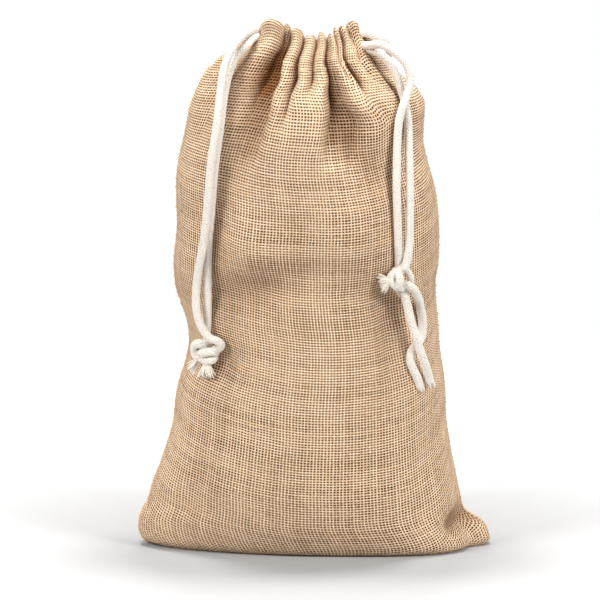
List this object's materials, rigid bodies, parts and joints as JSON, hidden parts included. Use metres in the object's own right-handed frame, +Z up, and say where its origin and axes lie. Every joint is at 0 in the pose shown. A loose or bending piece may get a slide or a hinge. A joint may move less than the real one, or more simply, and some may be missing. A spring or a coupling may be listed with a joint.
{
  "type": "drawstring burlap sack",
  "caption": "Small burlap sack standing on its folded foot, its mouth gathered and drawn in by cotton drawcords knotted at each side.",
  "frame": {"origin": "on the floor under the middle of the sack's foot", "axes": "+Z up along the sack to its gathered mouth, -Y is the front that the picture shows, +X to the right seen from the front"},
  "size_m": [0.1949, 0.1106, 0.296],
  "materials": {
    "burlap": "coarse open plain weave, matt",
    "cotton": "braided cotton cord, matt"
  },
  "bodies": {
    "root": {"sack_cloth": "burlap", "left_cord_inner": "cotton", "left_cord_outer": "cotton", "right_cord_front": "cotton", "right_cord_back": "cotton", "right_cord_bight": "cotton", "right_tail_right": "cotton", "right_tail_left": "cotton", "left_knot": "cotton", "right_knot": "cotton", "left_knot_tuft_side": "cotton", "left_knot_tuft_low": "cotton", "right_knot_tuft": "cotton"}
  },
  "joints": []
}
